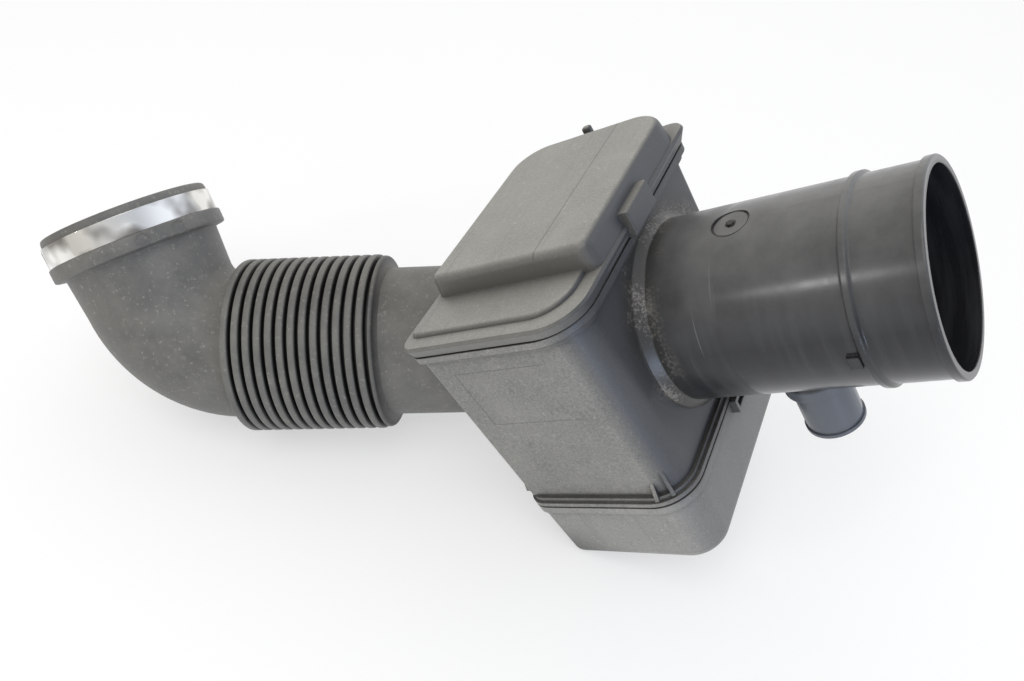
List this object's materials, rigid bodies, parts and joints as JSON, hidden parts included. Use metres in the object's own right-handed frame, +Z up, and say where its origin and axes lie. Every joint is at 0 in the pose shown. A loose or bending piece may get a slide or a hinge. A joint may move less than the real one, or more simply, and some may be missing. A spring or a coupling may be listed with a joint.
{
  "type": "air intake duct",
  "caption": "Air intake duct: clamped rubber bellows hose with an elbow, moulded expansion box with welded covers, lipped inlet pipe and breather spigot.",
  "frame": {"origin": "on the floor, under the middle of the duct's outline, as it lies at rest on the hose and the tray's lower edge", "axes": "+X from the hose mouth towards the inlet pipe, +Y back, +Z up from the floor"},
  "size_m": [0.4914, 0.181, 0.2417],
  "materials": {
    "hose_rubber": "matt moulded rubber, dusty",
    "clamp_steel": "bright rolled stainless strip, smudged",
    "body_plastic": "satin black moulded plastic, scuffed and dusty",
    "cover_plastic": "fine-grained charcoal moulded plastic, dusty"
  },
  "bodies": {
    "root": {"rubber_hose": "hose_rubber", "clamp_band": "clamp_steel", "clamp_buckle": "clamp_steel", "duct_body": "body_plastic", "top_cover": "cover_plastic", "bottom_cover": "cover_plastic"}
  },
  "joints": []
}
